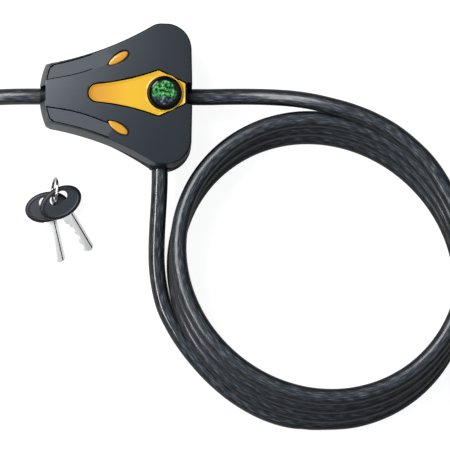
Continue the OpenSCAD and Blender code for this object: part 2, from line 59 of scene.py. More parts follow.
# %% Units and colours
MM = 0.001


def colour(hex_code):
    """An sRGB hex value as a linear colour with full alpha."""
    parts = [int(hex_code[i:i + 2], 16) / 255 for i in (1, 3, 5)]
    linear = [p / 12.92 if p <= 0.04045 else ((p + 0.055) / 1.055) ** 2.4 for p in parts]
    return (*linear, 1.0)


# %% Selecting
def pick(piece):
    """Leave the edit mode, then select this piece only and make it active."""
    if bpy.context.object and bpy.context.object.mode != "OBJECT":
        bpy.ops.object.mode_set(mode="OBJECT")
    bpy.ops.object.select_all(action="DESELECT")
    piece.select_set(True)
    bpy.context.view_layer.objects.active = piece


def edit(piece):
    """Go to edit mode with everything selected."""
    pick(piece)
    bpy.ops.object.mode_set(mode="EDIT")
    bpy.ops.mesh.select_all(action="SELECT")


def face_outwards(piece):
    """Turn every face of a closed piece outwards."""
    edit(piece)
    bpy.ops.mesh.normals_make_consistent(inside=False)
    pick(piece)


def shade_round(piece, angle=40):
    """Shade smoothly across every edge flatter than the angle."""
    pick(piece)
    bpy.ops.object.shade_smooth_by_angle(angle=radians(angle))


def put_in_scene(name, data):
    """A new object that holds this mesh or curve."""
    made = bpy.data.objects.new(name, data)
    bpy.context.collection.objects.link(made)
    return made


# %% [markdown]
# ## The camera
# The lock is seen from nearly straight above with a long lens, so that its walls hardly show.
# The view is 219 mm wide at the height of the cable's channel. A small tilt to the front shows
# the lower wall, and a very small one to the side shows the narrow end.

# %% Camera
FRAME_WIDTH = 219.4 * MM
DISTANCE = 1.5
TILT_FRONT = radians(6)
TILT_SIDE = radians(-1.5)
LOOK_AT = Vector((53.1 * MM, -62.9 * MM, 14 * MM))

bpy.ops.object.camera_add(location=(0, 0, 0), rotation=(TILT_FRONT, TILT_SIDE, 0))
camera = bpy.context.object
camera.data.sensor_width = 36
camera.data.lens = 36 * DISTANCE / FRAME_WIDTH
bpy.context.view_layer.update()
back = camera.matrix_world.to_quaternion() @ Vector((0, 0, 1))
camera.location = LOOK_AT + back * DISTANCE
camera.data.clip_start = 0.1
camera.data.clip_end = 10
bpy.context.scene.camera = camera
print("lens", round(camera.data.lens), "mm")

# %% [markdown]
# ## The cable's route
# The cable is one length of 8 mm vinyl-coated steel. It leaves the lower wing, sinks to the
# table, makes four turns that lie on one another and lean towards the lock, and comes back
# down into the entry port. The turns follow a formula, and the loose stretches follow points
# listed one by one, joined by a smooth curve.

# %% Route points
CABLE_R = 4
LEAD = [
    (21.2, -35.9, 14), (21.2, -42, 14), (20.8, -52, 13.3), (20.2, -62, 11.6),
    (19.8, -72, 9.4), (19.9, -82, 7.3), (21.1, -92, 5.5), (23.6, -102, 4.4),
    (27.8, -111, 4), (33.4, -120, 4), (40.4, -129, 4), (48.6, -137.6, 4),
    (58.4, -145.6, 4), (69.2, -152, 4), (79, -155.9, 4),
]
RETURN = [
    (165.9, -59.4, 29.8), (159.1, -46.2, 29.8), (152.8, -36.2, 29.8), (145.9, -28.4, 29.8),
    (135.2, -19.4, 29.6), (123.8, -12.9, 29.2), (113, -8.6, 28.5),
    (103.5, -5.8, 27.3), (95, -3.6, 25.3), (86.5, -1.9, 22.3), (78.5, -0.8, 19),
    (70.5, -0.1, 16.3), (62, 0.2, 14.6), (53.5, 0.2, 14), (45, 0, 14), (37, 0, 14),
]
TAIL = [
    (-37.5, 0, 14), (-43, 0, 14), (-50, 0, 13.3), (-57, 0, 11.7), (-64, 0, 9.5),
    (-71, 0, 7.3), (-78, 0, 5.5), (-85, 0, 4.6), (-91, 0, 4.5), (-98, 0, 4.5),
]


# %% The coil's turns
COIL_START, COIL_END, COIL_STEPS = 270, 1435, 78
COIL_RISE, COIL_LEAN = 8.6, 3.8


def smooth_step(t):
    t = min(max(t, 0), 1)
    return t * t * (3 - 2 * t)


def coil_point(angle):
    """A point of the coil, whose turns are counted in degrees and lean towards the lock."""
    turn = (angle - 900) / 360
    radius = 69.4 + 2.3 * cos(radians(2 * (angle - 140))) - 0.45 * turn
    height = sum(smooth_step((angle - start) / 90) for start in (495, 855, 1215))
    return Vector((
        99.4 + 0.3 * turn + radius * cos(radians(angle)),
        -83.2 + COIL_LEAN * turn - 0.24 * turn ** 3 + radius * sin(radians(angle)),
        CABLE_R + COIL_RISE * height,
    ))


def smooth_curve(points, step):
    """Points about one step apart on a Catmull-Rom curve through the given points."""
    points = [Vector(p) for p in points]
    ends = [2 * points[0] - points[1]] + points + [2 * points[-1] - points[-2]]
    line = []
    for p0, p1, p2, p3 in zip(ends, ends[1:], ends[2:], ends[3:]):
        count = max(1, round((p2 - p1).length / step))
        for i in range(count):
            t = i / count
            line.append(0.5 * (
                2 * p1 + (p2 - p0) * t + (2 * p0 - 5 * p1 + 4 * p2 - p3) * t * t
                + (3 * p1 - p0 - 3 * p2 + p3) * t ** 3
            ))
    return line + [points[-1]]


def coil_direction(angle):
    return (coil_point(angle + 0.5) - coil_point(angle - 0.5)).normalized()


coil_step = (COIL_END - COIL_START) / COIL_STEPS
coil = [coil_point(COIL_START + coil_step * i) for i in range(COIL_STEPS + 1)]
into_coil = coil_direction(COIL_START)
out_of_coil = coil_direction(COIL_END)
middle = [coil[0] - 8 * into_coil] + coil + [coil[-1] + 8 * out_of_coil]
cable_route = smooth_curve(
    LEAD + [middle[0] - 4 * into_coil] + middle + [middle[-1] + 4 * out_of_coil] + RETURN, 2.5
)
tail_route = smooth_curve(TAIL, 2.5)


def route_length(route):
    return sum((b - a).length for a, b in zip(route, route[1:])) * MM


print("cable", round(route_length(cable_route), 3), "m, tail", round(route_length(tail_route), 3))

# %% [markdown]
# ## Sweeping the cable
# The cable is a tube with a ring of points every 2.5 mm. Each ring is turned along with the
# route so that the tube never twists, and the tube gets its own UV map: U runs round the cable
# and V along it, both in metres. The finish uses that map for the strands under the coat.

# %% Tube
SIDES = 24


def cable_tube(name, route, radius):
    """A closed tube along a route, with a UV map measured in metres."""
    count = len(route)
    directions = [
        (route[min(i + 1, count - 1)] - route[max(i - 1, 0)]).normalized() for i in range(count)
    ]
    side = directions[0].cross(Vector((0, 0, 1))).normalized()
    points = []
    along = [0.0]
    for i, (centre, direction) in enumerate(zip(route, directions)):
        side = (side - direction * side.dot(direction)).normalized()
        up = side.cross(direction)
        if i:
            along.append(along[-1] + (centre - route[i - 1]).length)
        for k in range(SIDES):
            angle = tau * k / SIDES
            points.append((centre + radius * (cos(angle) * side + sin(angle) * up)) * MM)
    faces = []
    for i in range(count - 1):
        for k in range(SIDES):
            a, b = i * SIDES + k, i * SIDES + (k + 1) % SIDES
            faces.append((a, a + SIDES, b + SIDES, b))
    faces.append(tuple(range(SIDES)))
    faces.append(tuple(reversed(range((count - 1) * SIDES, count * SIDES))))
    mesh = bpy.data.meshes.new(name)
    mesh.from_pydata(points, [], faces)
    uv = mesh.uv_layers.new(name="along_cable")
    for n, face in enumerate(mesh.polygons[:-2]):
        i, k = divmod(n, SIDES)
        around = [k / SIDES, k / SIDES, (k + 1) / SIDES, (k + 1) / SIDES]
        length = [along[i], along[i + 1], along[i + 1], along[i]]
        for corner, u, v in zip(face.loop_indices, around, length):
            uv.data[corner].uv = (u * tau * radius * MM, v * MM)
    tube = put_in_scene(name, mesh)
    face_outwards(tube)
    shade_round(tube)
    return tube


cable = cable_tube("cable", cable_route, CABLE_R)
tail = cable_tube("cable_tail_end", tail_route, CABLE_R)
print("rings in the cable and the tail", len(cable_route), len(tail_route))

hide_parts("cable_lead", "cable_coil", "cable_return")
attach(cable, "housing")
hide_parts("cable_tail")
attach(tail, "housing")

# %% [markdown]
# ## Solids by hand
# The body is moulded plastic, so its pieces are slabs with drafted walls, recesses and rounded
# edges. Each could be sculpted, but a toolmaker's own steps are clearer: draw the outline, pull
# it up ring by ring, and cut the recesses with tools of their shape.

# %% Outlines
def arc(centre, radius, start, end, count):
    """Points on an arc, with the angles in degrees."""
    angles = [radians(start + (end - start) * i / count) for i in range(count + 1)]
    return [(centre[0] + radius * cos(a), centre[1] + radius * sin(a)) for a in angles]


def mirrored(half, first=0, last=None):
    """A whole outline from the half above the X axis, with any points on the axis kept once."""
    return half + [(x, -y) for x, y in reversed(half[first:last])]


# %% Flat shape and slab
def flat_shape(name, outline, height):
    """One flat face with this outline."""
    path = bpy.data.curves.new(name, "CURVE")
    spline = path.splines.new("POLY")
    spline.points.add(len(outline) - 1)
    for point, (x, y) in zip(spline.points, outline):
        point.co = (x * MM, y * MM, height * MM, 1)
    spline.use_cyclic_u = True
    path.dimensions = "3D"
    pick(put_in_scene(name, path))
    bpy.ops.object.convert(target="MESH")
    shape = bpy.context.object
    edit(shape)
    bpy.ops.mesh.edge_face_add()
    pick(shape)
    return shape


def extrude_up(rise):
    bpy.ops.mesh.extrude_region_move(TRANSFORM_OT_translate={"value": (0, 0, rise * MM)})


def slab(name, outline, low, high):
    """A solid with this outline between two heights."""
    shape = flat_shape(name, outline, low)
    edit(shape)
    extrude_up(high - low)
    face_outwards(shape)
    return shape


# %% Solid through rings
def pulled_up(name, rings):
    """A solid through rings of (x, y, z) points, each with the same number of points."""
    ring = rings[0]
    shape = flat_shape(name, [p[:2] for p in ring], ring[0][2])
    for next_ring in rings[1:]:
        pick(shape)
        bpy.ops.object.mode_set(mode="EDIT")
        extrude_up(1)
        pick(shape)
        for point in shape.data.vertices:
            if point.select:
                here = (point.co.x / MM, point.co.y / MM)
                i = min(range(len(ring)), key=lambda k: dist(ring[k][:2], here))
                point.co = Vector(next_ring[i]) * MM
        ring = next_ring
    face_outwards(shape)
    return shape


def at_height(outline, height):
    return [(x, y, height) for x, y in outline]


# %% Rod and block
def rod(name, radius, start, end, sides=64):
    """A round bar between two points."""
    start, end = Vector(start) * MM, Vector(end) * MM
    bpy.ops.mesh.primitive_cylinder_add(
        vertices=sides, radius=radius * MM, depth=(end - start).length, location=(start + end) / 2,
        rotation=(end - start).to_track_quat("Z", "Y").to_euler(),
    )
    bar = bpy.context.object
    bar.name = name
    bpy.ops.object.transform_apply(location=True, rotation=True, scale=True)
    return bar


def block(name, low, high):
    """A square-cornered cutter between two corners."""
    outline = [(low[0], low[1]), (high[0], low[1]), (high[0], high[1]), (low[0], high[1])]
    return slab(name, outline, low[2], high[2])


# %% Modifiers: cut and soften
def modify(piece, kind, **settings):
    """Add one modifier with its settings, and apply it."""
    step = piece.modifiers.new("step", kind)
    for name, value in settings.items():
        setattr(step, name, value)
    pick(piece)
    bpy.ops.object.modifier_apply(modifier=step.name)
    return piece


def shape_with(piece, *tools, how="DIFFERENCE"):
    """Cut each tool out of the piece, or keep or add what they share, and remove the tools."""
    for tool in tools:
        modify(piece, "BOOLEAN", operation=how, solver="EXACT", object=tool)
        bpy.data.objects.remove(tool)
    return piece


def soften(piece, width, segments, angle):
    """Round every edge sharper than the angle."""
    modify(piece, "BEVEL", width=width * MM, segments=segments, limit_method="ANGLE",
           angle_limit=radians(angle))
    shade_round(piece)
    return piece


def even_shading(piece):
    """Let the large faces set the shading, so that rounded edges stay narrow."""
    return modify(piece, "WEIGHTED_NORMAL", keep_sharp=True)


# %% [markdown]
# ## The body's outline
# The body has a narrow end with a shallow arc, two long waisted sides, two rounded wings and a
# straight edge with the entry port. It is drawn once, as arcs, and offset for the walls.

# %% Body outline
END_ARC_R, END_ARC_X, END_ARC_Y = 39.4, 1.9, 14.75
CORNER = (-34.25, 15.15)
WAIST_R, WAIST_C, WAIST_RUN = 150, (-59.8, 163.05), 26.1
WING_TOP = 35.45
SHOULDER_R, SHOULDER_X = 13.4, 23.3
TIP_R = 9
TIP_REACH = sqrt((WAIST_R + TIP_R) ** 2 - (WAIST_C[1] - WING_TOP + TIP_R) ** 2)
TIP_TURN = acos(TIP_REACH / (WAIST_R + TIP_R)) * 360 / tau
PORT_X, PORT_HALF, SIDE_HALF = 37, 5, 12
WING_X = 21.2
SPLIT_Z, BODY_T = 14, 28


def body_outline(inset=0, end_inset=0, port_inset=0):
    """The body's outline moved inwards, by other amounts at the narrow end and the port."""
    end_r = END_ARC_R - end_inset
    waist_end = -acos((WAIST_RUN + end_inset) / (WAIST_R + inset)) * 360 / tau
    end_start = 180 - asin((END_ARC_Y - inset) / end_r) * 360 / tau
    shoulder = (SHOULDER_X + inset - port_inset, WING_TOP - SHOULDER_R)
    half = [(PORT_X - port_inset, PORT_HALF), (PORT_X - 0.1 - port_inset, SIDE_HALF)]
    half += arc(shoulder, SHOULDER_R - inset, 4, 84, 20)
    half += arc((WAIST_C[0] + TIP_REACH, WING_TOP - TIP_R), TIP_R - inset, 90, 178 - TIP_TURN, 10)
    half += arc(WAIST_C, WAIST_R + inset, -TIP_TURN, waist_end, 24)
    half += [(CORNER[0] + 1.02 * end_inset, CORNER[1] - inset)]
    half += arc((END_ARC_X, 0), end_r, end_start, 180, 10)
    return mirrored(half, last=-1)


print("outline points", len(body_outline()))

# %% [markdown]
# ## The front shell
# The front shell is an ABS moulding with drafted walls and a face that is a very flat dome. It
# could be trimmed with a huge ball, but that leaves slivers along the rim. Here rings of points
# climb the wall, turn over the rounded rim and close in over the dome, so every face is tidy.

# %% Front shell: outer form
BEVEL_START, BEVEL_TOP = 19, 26.6
BEVEL_W, END_BEVEL_W, PORT_BEVEL_W = 1.1, 2.55, 0.3
CROWN_R, CROWN_X = 450, 4
FACE_X, LABEL_X = 2, 10
RIM_R = 0.45
FACE_RINGS = [0.94, 0.86, 0.76, 0.66, 0.56, 0.46, 0.36, 0.26, 0.16, 0.08]


def crown_z(x, y, top=BODY_T):
    """Height of the dome whose highest point is at this height."""
    return top - CROWN_R + sqrt(CROWN_R ** 2 - (x - CROWN_X) ** 2 - y ** 2)


def over_the_rim(outline, inner):
    """Rings that turn over the rim from an outline towards an inner one, and close in."""
    rings = []
    for turn in (0, 22.5, 45, 67.5, 90):
        ring = []
        for (x, y), (u, v) in zip(outline, inner):
            run = RIM_R * (1 - cos(radians(turn))) / dist((x, y), (u, v))
            x, y = x + (u - x) * run, y + (v - y) * run
            ring.append((x, y, crown_z(x, y) - RIM_R * (1 - sin(radians(turn)))))
        rings.append(ring)
    for keep in FACE_RINGS:
        ring = [(FACE_X + (x - FACE_X) * keep, y * keep) for x, y, z in rings[4]]
        rings.append([(x, y, crown_z(x, y)) for x, y in ring])
    return rings


def band_outline(further):
    """The outline at the top of the sloped band, moved further inwards."""
    return body_outline(BEVEL_W + further, END_BEVEL_W + further, PORT_BEVEL_W + further)


rim = []
for (x, y), (u, v) in zip(body_outline(), band_outline(0)):
    share = (crown_z(u, v) - RIM_R - BEVEL_START) / (BEVEL_TOP - BEVEL_START)
    rim.append((x + (u - x) * share, y + (v - y) * share))
rim_inner = [
    (x + u - a, y + v - b)
    for (x, y), (a, b), (u, v) in zip(rim, band_outline(0), band_outline(0.5))
]
front_shell = pulled_up("front_cover", [
    at_height(body_outline(), SPLIT_Z), at_height(body_outline(), BEVEL_START),
    *over_the_rim(rim, rim_inner),
])
print("front shell faces", len(front_shell.data.polygons))

# %% [markdown]
# The two panels at the narrow end are sunk on a slope: deep at the end, and out through the face
# again just below the oval inserts. Each cutter is a slab trimmed along that slope. A second,
# deeper cutter is hollowed, so that it only cuts a fine groove round the panel. The groove's
# faces take painted shade.

# %% Front shell: sunk panels
PANEL_FALL, PANEL_RUN = 1.95, 30
PANEL_END = (-3.5, BODY_T - 0.5)
PANEL_RIM, END_RIM = 0.6, 0.3
PANEL_LOW, OVER = 22, 32
GROOVE_W = 0.55
GROOVE_FALL = {1: (-0.34, 1.24), -1: (0.1, 0.8)}
RIDGE = [
    (-40, 5.2), (-33.5, 6.4), (-22.5, 8.3), (-15, 10.3), (-9.5, 12.3), (-3.5, 14.7), (1.5, 16.9),
]


def panel_plug(side, step, low, high):
    """A slab with the panel's outline moved inwards by a step."""
    ridge = smooth_curve([(x, side * (y + step), 0) for x, y in RIDGE], 1.5)
    outline = [(p.x, p.y) for p in ridge]
    outline += [(RIDGE[-1][0], side * 30), (RIDGE[0][0], side * 30)]
    plug = slab("panel", outline, low, high)
    rim = body_outline(BEVEL_W + PANEL_RIM + step, END_BEVEL_W + END_RIM + step)
    return shape_with(plug, slab("rim", rim, low - 2, high + 2), how="INTERSECT")


def trimmed_to_slope(plug, deeper=0, steeper=0):
    """Keep what lies above the panel's floor, or above a deeper and steeper slope."""
    edit(plug)
    bpy.ops.mesh.bisect(
        plane_co=(PANEL_END[0] * MM, 0, (PANEL_END[1] - deeper) * MM),
        plane_no=(-(PANEL_FALL + steeper) / PANEL_RUN, 0, 1), use_fill=True, clear_inner=True,
    )
    face_outwards(plug)
    return plug


def second_slot(piece):
    """Give a piece two places for a finish. What a tool in the second cuts, stays in it."""
    for _ in range(2):
        piece.data.materials.append(None)
    return piece


def shade_tool(tool):
    """A cutter whose cut faces take the second finish, which is painted shade."""
    second_slot(tool)
    for face in tool.data.polygons:
        face.material_index = 1
    return tool


second_slot(front_shell)
for side in (1, -1):
    shape_with(front_shell, trimmed_to_slope(panel_plug(side, 0, PANEL_LOW, OVER)))
    # The fine groove's faces take painted shade.
    groove = trimmed_to_slope(panel_plug(side, 0, PANEL_LOW, OVER), *GROOVE_FALL[side])
    shape_with(groove, panel_plug(side, GROOVE_W, PANEL_LOW - 2, OVER + 2))
    shape_with(front_shell, shade_tool(groove))
print("panels sunk, groove faces", sum(f.material_index for f in front_shell.data.polygons))

# %% [markdown]
# The label, the badge and the two oval inserts sit in seats of their own shape. The label
# widens towards the badge in one long curve and ends in a blunt point at the port.

# %% Trim outlines
LABEL_Z, LABEL_WALL_TOP = 26.6, 27.9
BADGE_X, BADGE_R = 23.3, 8.3
EYE_PLACE, EYE_TILT = (0.9, 16.9), 33
EYE_L, EYE_W, EYE_STEP = 12.2, 4.9, 0.5
EYE_SEAT, EYE_FOOT_TOP, EYE_TOP = 25.6, 26.7, 27.1
SEAM = 0.25


def label_outline(inset):
    """The label's outline, moved inwards."""
    half = arc((-9.2, 0), 4.6 - inset, 171, 111, 10)
    half += arc((-18.7, 114.3), 110 + inset, -85, -70, 20)
    half += [(20.1, 11.35 - inset), (20.9, 11.35 - inset), (21.6 - 0.3 * inset, 11.1 - inset)]
    half += [(33.4 - 0.8 * inset, 5.4 - 0.7 * inset), (34 - inset, 4.7 - 0.3 * inset)]
    return mirrored(half)


def eye_outline(grow, point):
    """A leaf with one pointed end and one round end, along X. A low point is a blunt one."""
    places = [(1 - cos(tau / 2 * i / 24)) / 2 for i in range(25)]
    stretch = 1 + grow / 5
    widest = point / (point + 0.5)
    scale = (EYE_W / 2 + grow) / (widest ** point * sqrt(1 - widest))
    half = [
        (stretch * EYE_L * (t - 0.5), scale * t ** point * sqrt(1 - t)) for t in places
    ]
    return mirrored(half, 1, -1)


def eye_placed(side, grow, point=0.8):
    """The eye's outline at its place on one wing."""
    tilt = radians(side * EYE_TILT)
    return [
        (EYE_PLACE[0] + x * cos(tilt) - y * sin(tilt),
         side * EYE_PLACE[1] + x * sin(tilt) + y * cos(tilt))
        for x, y in eye_outline(grow, point)
    ]


# %% Front shell: seats of the trim
# The walls of the label's and the inserts' seats take painted shade.
shape_with(
    front_shell,
    shade_tool(slab("label_seat", label_outline(-SEAM), LABEL_Z, OVER)),
    rod("badge_seat", BADGE_R + 0.1, (BADGE_X, 0, LABEL_Z - 0.8), (BADGE_X, 0, OVER), 96),
    shade_tool(slab("eye_seat", eye_placed(1, SEAM), EYE_SEAT, OVER)),
    shade_tool(slab("eye_seat", eye_placed(-1, SEAM), EYE_SEAT, OVER)),
)
print("seats cut")

# %% [markdown]
# Both shells are hollow, with a boss for each cover screw, and open at the cable's ports, the
# keyway and the collar where the cable's fixed end comes out. One set of cutters does for both.

# %% Hollow, bosses and ports
SCREWS = [(4, 18), (4, -18), (-28.3, 12), (-28.3, -12)]
WALL, END_WALL = 3, 4.2
CEILING_Z, FLOOR_Z = 24.4, 2.8
CASE_X = (-31.5, 33.5)


def hollow(low, high):
    """The space inside a shell, with the screws' bosses left standing."""
    space = slab("space", body_outline(WALL, END_WALL, WALL), low, high)
    bosses = [rod("boss", 3, (x, y, low - 1), (x, y, high + 1), 32) for x, y in SCREWS]
    return shape_with(space, *bosses)


def port_tools():
    """The cutters for the ports, the keyway's mouth and the collar's seat."""
    return [
        rod("left_port", 5.6, (-40, 0, SPLIT_Z), (CASE_X[0], 0, SPLIT_Z)),
        rod("right_port", 5.4, (CASE_X[1], 0, SPLIT_Z), (40, 0, SPLIT_Z)),
        rod("key_mouth", 6.6, (WING_X, 28.5, SPLIT_Z), (WING_X, 40, SPLIT_Z)),
        rod("collar_seat", 6.7, (WING_X, -33, SPLIT_Z), (WING_X, -28.5, SPLIT_Z)),
        rod("collar_mouth", 5.7, (WING_X, -40, SPLIT_Z), (WING_X, -32.9, SPLIT_Z)),
    ]


shape_with(
    front_shell, hollow(SPLIT_Z - 1, CEILING_Z), *port_tools(),
    block("right_notch", (34.3, -5.3, SPLIT_Z), (40, 5.3, 40)),
    block("left_notch", (-40, -3.9, SPLIT_Z), (-34.3, 3.9, 40)),
    *[rod("pilot", 1.5, (x, y, SPLIT_Z - 1), (x, y, 22), 32) for x, y in SCREWS],
)
soften(front_shell, 0.16, 2, 38)
even_shading(front_shell)
print("front shell faces", len(front_shell.data.polygons))

# %% [markdown]
# ## The rear shell
# The rear shell is the flat half that lies on the table. Its edge is rounded where it meets the
# table, and the four screws sit in round recesses, so that they can't scratch. Its walls lean in
# more at the narrow half than at the wide one.

# %% Rear shell
DRAFT = {"narrow": 1.0, "wide": -0.35}


def rear_outline(inset):
    """The rear shell's outline, whose draft is less on the wide half of the body."""
    ring = []
    for (x, y), (u, v) in zip(body_outline(DRAFT["narrow"] + inset, 1 + inset, inset),
                              body_outline(DRAFT["wide"] + inset, 1 + inset, inset)):
        share = min(max((x + 3) / 20, 0), 1)
        ring.append((x + (u - x) * share, y + (v - y) * share))
    return ring


rear_shell = pulled_up("rear_cover", [
    at_height(rear_outline(1.5), 0), at_height(rear_outline(0.4), 0.8),
    at_height(rear_outline(0), 2.6), at_height(body_outline(), SPLIT_Z),
])
shape_with(rear_shell, hollow(FLOOR_Z, SPLIT_Z + 1), *port_tools())
for x, y in SCREWS:
    shape_with(
        rear_shell,
        rod("screw_hole", 1.6, (x, y, -1), (x, y, SPLIT_Z + 1), 32),
        rod("screw_recess", 2.7, (x, y, -1), (x, y, 2.5), 48),
    )
soften(rear_shell, 0.2, 2, 32)
even_shading(rear_shell)
print("rear shell faces", len(rear_shell.data.polygons))

# %% [markdown]
# ## Label, badge and inserts
# The label is a satin yellow moulding, dished inside a narrow rim and with a rounded lip round
# the badge. A gap all round it shows as a dark line, with painted shade on the label's walls in
# it. The two inserts are small glossy domes, each on a black foot that shows as a ring and paints
# the shade in the seam round the dome. Pulling each dome's top in by small steps, each
# rising less than the last, gives a round profile without a sphere.

# %% Label
LABEL_TOP = BODY_T - 0.1
LABEL_GAP = 0.45
DISH = [(0, -0.1), (0.1, 0), (0.25, 0), (0.6, -0.12), (1.0, -0.28), (1.3, -0.34)]
LIP = [(9.2, 26.9), (9.2, 27.12), (9.1, 27.3), (8.9, 27.42), (8.6, 27.46)]

label_rings = [at_height(label_outline(LABEL_GAP), LABEL_Z)]
for inset, rise in DISH:
    edge = label_outline(LABEL_GAP + inset)
    label_rings.append([(x, y, crown_z(x, y, LABEL_TOP) + rise) for x, y in edge])
for keep in FACE_RINGS:
    edge = [(LABEL_X + (x - LABEL_X) * keep, y * keep) for x, y, z in label_rings[len(DISH)]]
    label_rings.append([(x, y, crown_z(x, y, LABEL_TOP) + DISH[-1][1]) for x, y in edge])
label = pulled_up("label_plate", label_rings)
lip = pulled_up("lip", [
    at_height(arc((BADGE_X, 0), radius, 0, 357.5, 143), height) for radius, height in LIP
])
shape_with(label, lip, how="UNION")
shape_with(label, rod("badge_hole", BADGE_R + 0.1, (BADGE_X, 0, 20), (BADGE_X, 0, OVER), 144))
shade_round(label)
print("label faces", len(label.data.polygons))

# %% Oval inserts
DOME = [(0.99, 0.2), (0.96, 0.18), (0.9, 0.16), (0.82, 0.11), (0.7, 0.07), (0.5, 0.03)]


def choose_level(piece, height):
    """Edit a piece with only its flat faces at this height selected."""
    edit(piece)
    bpy.ops.mesh.select_mode(type="FACE")
    bpy.ops.mesh.select_all(action="DESELECT")
    pick(piece)
    for face in piece.data.polygons:
        face.select = abs(face.center.z / MM - height) < 0.01 and abs(face.normal.z) > 0.99
    bpy.ops.object.mode_set(mode="EDIT")


def domed(piece, height, centre, steps):
    """Pull the top face on in steps: how much of its size it keeps, and how far it rises."""
    choose_level(piece, height)
    for keep, rise in steps:
        extrude_up(rise)
        bpy.ops.transform.resize(value=(keep, keep, 1), center_override=Vector(centre) * MM)
    pick(piece)


inserts = []
for side, name in ((1, "oval_insert_upper"), (-1, "oval_insert_lower")):
    foot = slab(name, eye_placed(side, SEAM - 0.03), EYE_SEAT, EYE_FOOT_TOP)
    insert = slab(name, eye_placed(side, -EYE_STEP, 0.62), 26, EYE_TOP)
    domed(insert, EYE_TOP, (EYE_PLACE[0], side * EYE_PLACE[1], 27), DOME)
    shape_with(foot, insert, how="UNION")
    shade_round(foot, 50)
    inserts.append(foot)
print("insert faces", [len(insert.data.polygons) for insert in inserts])

# %% [markdown]
# ## The keys
# Each key is a nickel-silver blade moulded into an oval nylon bow. The bow has a thick round
# rim, a face sunk inside it and a slot for the ring. The pieces are modelled flat at the origin
# and then turned to where they lie. The blade is made once and copied. The slots differ a
# little, because the ring needs more room in the bow on top.

# %% Key bow
BOW_L, BOW_W = 21.9, 15
BLADE_W, BLADE_T, KEY_REACH = 6, 1.9, 27.7
HOLE_L, HOLE_W, HOLE_IN = 10, 5, 2.5
HOLE_SHORT = {"front": 0.6, "rear": 1.5}


def oval(half_x, half_y, count=72):
    return [(half_x * cos(tau * i / count), half_y * sin(tau * i / count)) for i in range(count)]


def draw_in(piece, height, steps):
    """Pull the topmost or lowest face on, a step at a time: (inset, rise) in millimetres."""
    choose_level(piece, height)
    for inset, rise in steps:
        bpy.ops.mesh.inset(thickness=inset * MM, depth=rise * MM)
    pick(piece)


def key_bow(name, shorter):
    """An oval bow with a raised rim, and a slot that is shorter than HOLE_L by this much."""
    bow = slab(name, oval(BOW_W / 2, BOW_L / 2), -0.25, 0.25)
    rounding = [(0.06, 0.35), (0.2, 0.45), (0.45, 0.42), (0.45, 0.2), (0.45, 0.03)]
    face = [(0.25, -0.12), (0.2, -0.2)]
    draw_in(bow, 0.25, rounding + face)
    draw_in(bow, -0.25, rounding + face)
    ends = (HOLE_L - HOLE_W) / 2
    slot = arc((-HOLE_IN, ends), HOLE_W / 2, 0, 180, 16)
    slot += arc((-HOLE_IN, shorter - ends), HOLE_W / 2, 180, 360, 16)
    shape_with(bow, slab("ring_slot", slot, -4, 4))
    shape_with(bow, block("blade_pocket", (3.2, -3.02, -0.97), (12, 3.02, 0.97)))
    soften(bow, 0.25, 3, 50)
    polish = bow.data.attributes.new("polish", "FLOAT", "POINT")
    for point, value in zip(bow.data.vertices, polish.data):
        out = dist((0, 0), (point.co.x / MM / (BOW_W / 2), point.co.y / MM / (BOW_L / 2)))
        value.value = min(max((out - 0.8) / 0.08, 0), 1)
    return even_shading(bow)


# %% Key blade
def key_blade(name):
    """A flat blade with its cuts on one edge, and a groove on each side."""
    w, half = BLADE_W / 2, BLADE_T / 2
    edge = [
        (3.2, -w), (10.6, -w), (11.2, -w + 1.1), (12.8, -w + 1.1), (13.6, -w + 2), (14.8, -w + 2),
        (15.8, -w + 1.2), (17, -w + 1.2), (18.2, -w + 2.2), (19.2, -w + 2.2), (20.6, -w + 0.8),
        (22, -w + 0.8), (23.4, -w + 1.6), (24.4, -w + 1.6), (25.4, -w + 0.6), (26, -w + 0.6),
        (KEY_REACH, -w + 2.6), (KEY_REACH, w - 1.6), (26.2, w), (3.2, w),
    ]
    blade = slab(name, edge, -half, half)
    # The grooves are cut with shade tools, so their faces take painted shade.
    shape_with(
        second_slot(blade),
        shade_tool(block("upper_groove", (7.4, 1.65, half - 0.5), (40, 2.1, 3))),
        shade_tool(block("lower_groove", (7.4, 0.5, -3), (40, 0.95, -half + 0.5))),
    )
    return soften(blade, 0.12, 2, 25)


def lay_key(piece, place):
    """Turn a flat key piece to where it lies, by (x, y, z, turn, tilt)."""
    x, y, z, turn, tilt = place
    piece.matrix_world = (
        Matrix.Translation(Vector((x, y, z)) * MM)
        @ Matrix.Rotation(radians(turn), 4, "Z") @ Matrix.Rotation(radians(tilt), 4, "Y")
    )
    pick(piece)
    bpy.ops.object.transform_apply(location=True, rotation=True, scale=True)


KEY_PLACES = {
    "front": (-27.2, -51.4, 7.6, -58.6, 13.57),
    "rear": (-33.9, -53.2, 3.15, -77, 4.35),
}
bows = {k: key_bow(f"{k}_bow", HOLE_SHORT[k]) for k in KEY_PLACES}
blades = {"front": key_blade("front_blade")}
blades["rear"] = put_in_scene("rear_blade", blades["front"].data.copy())
for k, place in KEY_PLACES.items():
    lay_key(bows[k], place)
    lay_key(blades[k], place)
print("key pieces", [piece.name for piece in (*bows.values(), *blades.values())])
